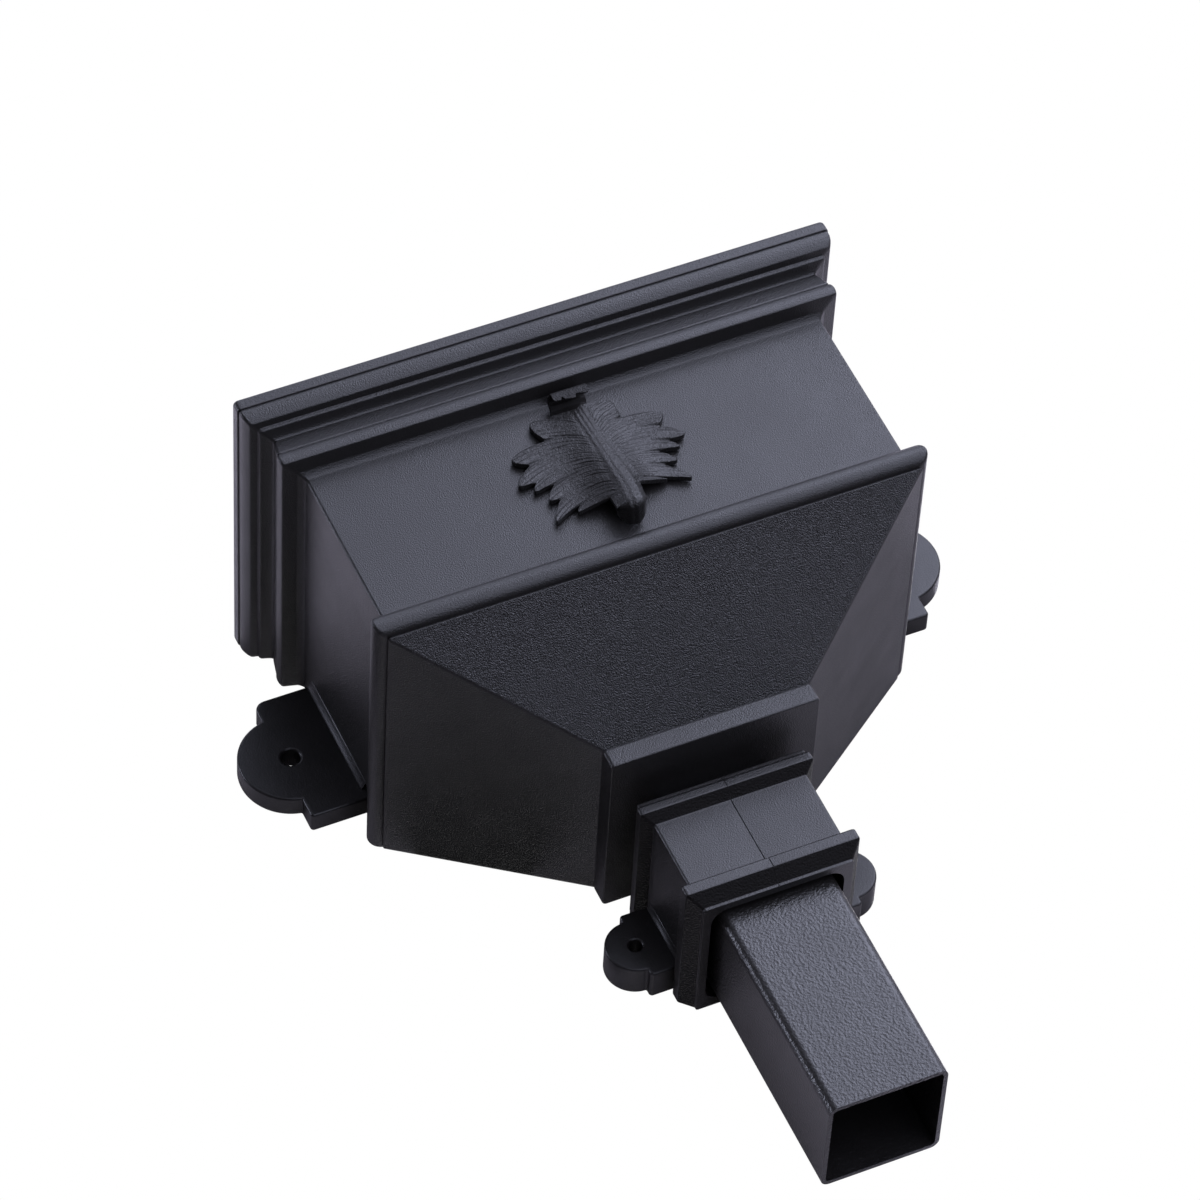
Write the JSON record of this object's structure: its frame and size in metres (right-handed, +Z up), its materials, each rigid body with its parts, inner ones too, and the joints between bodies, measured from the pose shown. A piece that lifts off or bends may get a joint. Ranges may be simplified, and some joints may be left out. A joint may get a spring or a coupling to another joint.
{
  "type": "downpipe hopper head",
  "caption": "Black plastic rainwater hopper head with a moulded cornice, acanthus leaf and tapering funnel, over an eared connector and a length of square downpipe.",
  "frame": {"origin": "on the wall plane, the flat back of the hopper head, midway between its two fixing holes", "axes": "+Z is up, +Y points into the wall, -Y is the front with the leaf, and +X is to the right seen from the front"},
  "size_m": [0.3994, 0.1894, 0.4405],
  "materials": {
    "head_plastic": "charcoal-black satin moulding, coarsely stippled on the funnel's front slope",
    "leaf_plastic": "charcoal-black satin moulding with fine carved veins",
    "connector_plastic": "charcoal-black satin moulding with a fine grain",
    "pipe_plastic": "charcoal-black satin extrusion with a fine leathery grain"
  },
  "bodies": {
    "root": {"hopper_head": "head_plastic", "leaf_motif": "leaf_plastic", "pipe_connector": "connector_plastic", "downpipe": "pipe_plastic"}
  },
  "joints": []
}
